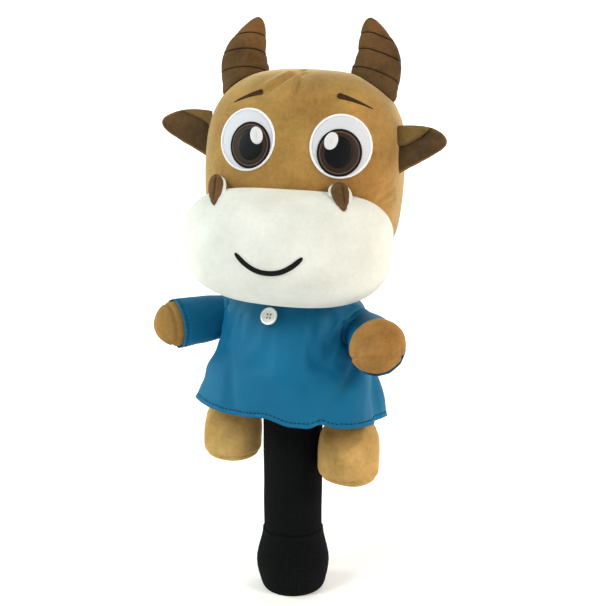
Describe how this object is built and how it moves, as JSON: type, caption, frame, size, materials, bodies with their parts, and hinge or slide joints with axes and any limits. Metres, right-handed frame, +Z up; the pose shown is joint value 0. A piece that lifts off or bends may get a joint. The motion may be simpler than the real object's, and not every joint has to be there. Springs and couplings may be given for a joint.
{
  "type": "driver head cover",
  "caption": "Plush bull head cover for a golf driver: stuffed head and body in a blue shirt on a black knitted sock, with bending arms, legs and ears.",
  "frame": {"origin": "centre of the sock's mouth, on the axis of the sock", "axes": "+Z up the club's shaft towards the head; the toy faces -Y; its own left is +X"},
  "size_m": [0.2185, 0.155, 0.4456],
  "materials": {
    "black_knit": "ribbed knit",
    "elastic": "woven elastic",
    "grey_fleece": "fleece",
    "white_stuffing": "loose fibre",
    "tan_plush": "short pile plush",
    "golden_plush": "short pile plush",
    "cream_plush": "short pile plush",
    "brown_plush": "short pile plush",
    "dark_plush": "short pile plush",
    "horn_plush": "short pile plush",
    "black_thread": "satin stitch",
    "white_thread": "satin stitch",
    "brown_thread": "satin stitch",
    "blue_cloth": "smooth knitted cloth",
    "white_plastic": "polished"
  },
  "bodies": {
    "toy": {"sock_neck": "black_knit", "sock_cuff": "black_knit", "cuff_elastic": "elastic", "pocket_lining": "grey_fleece", "torso_stuffing": "white_stuffing", "torso_front": "tan_plush", "torso_back": "tan_plush", "torso_base": "tan_plush", "head_stuffing": "white_stuffing", "face_panel": "tan_plush", "head_back_left": "tan_plush", "head_back_right": "tan_plush", "muzzle_skin": "cream_plush", "muzzle_stuffing": "white_stuffing", "nostril_left": "brown_plush", "nostril_right": "brown_plush", "smile_stitch": "black_thread", "eye_white_left": "white_thread", "eye_white_right": "white_thread", "iris_left": "brown_thread", "iris_right": "brown_thread", "pupil_left": "black_thread", "pupil_right": "black_thread", "highlight_left": "white_thread", "highlight_right": "white_thread", "brow_left": "brown_thread", "brow_right": "brown_thread", "horn_skin_left": "horn_plush", "horn_skin_right": "horn_plush", "horn_stuffing_left": "white_stuffing", "horn_stuffing_right": "white_stuffing", "shirt_front": "blue_cloth", "shirt_back": "blue_cloth", "shirt_neckband": "blue_cloth", "button": "white_plastic", "button_thread": "white_thread"},
    "arm_left": {"arm_skin_left": "tan_plush", "arm_hoof_left": "golden_plush", "arm_stuffing_left": "white_stuffing", "sleeve_left": "blue_cloth"},
    "leg_left": {"leg_skin_left": "tan_plush", "leg_sole_left": "golden_plush", "leg_stuffing_left": "white_stuffing"},
    "ear_left": {"ear_outer_left": "tan_plush", "ear_inner_left": "dark_plush"},
    "arm_right": {"arm_skin_right": "tan_plush", "arm_hoof_right": "golden_plush", "arm_stuffing_right": "white_stuffing", "sleeve_right": "blue_cloth"},
    "leg_right": {"leg_skin_right": "tan_plush", "leg_sole_right": "golden_plush", "leg_stuffing_right": "white_stuffing"},
    "ear_right": {"ear_outer_right": "tan_plush", "ear_inner_right": "dark_plush"}
  },
  "joints": [
    {"name": "arm_left", "type": "hinge", "parent": "toy", "child": "arm_left", "pos_m": [0.05939, -0.004, 0.21048], "axis": [0, -1, 0], "range_deg": [-8, 22], "stiffness_Nm_per_rad": 0.05},
    {"name": "leg_left", "type": "hinge", "parent": "toy", "child": "leg_left", "pos_m": [0.05027, -0.002, 0.14256], "axis": [-0.9981, 0, 0.061], "range_deg": [-20, 25], "stiffness_Nm_per_rad": 0.05},
    {"name": "ear_left", "type": "hinge", "parent": "toy", "child": "ear_left", "pos_m": [0.09071, -0.00025, 0.34642], "axis": [-0.061, 0, -0.9981], "range_deg": [-15, 15], "stiffness_Nm_per_rad": 0.002},
    {"name": "arm_right", "type": "hinge", "parent": "toy", "child": "arm_right", "pos_m": [-0.0523, -0.004, 0.21731], "axis": [0, 1, 0], "range_deg": [-8, 22], "stiffness_Nm_per_rad": 0.05},
    {"name": "leg_right", "type": "hinge", "parent": "toy", "child": "leg_right", "pos_m": [-0.05154, -0.002, 0.14878], "axis": [-0.9981, 0, 0.061], "range_deg": [-20, 25], "stiffness_Nm_per_rad": 0.05},
    {"name": "ear_right", "type": "hinge", "parent": "toy", "child": "ear_right", "pos_m": [-0.05875, -0.03482, 0.35556], "axis": [0.061, 0, 0.9981], "range_deg": [-15, 15], "stiffness_Nm_per_rad": 0.002}
  ]
}
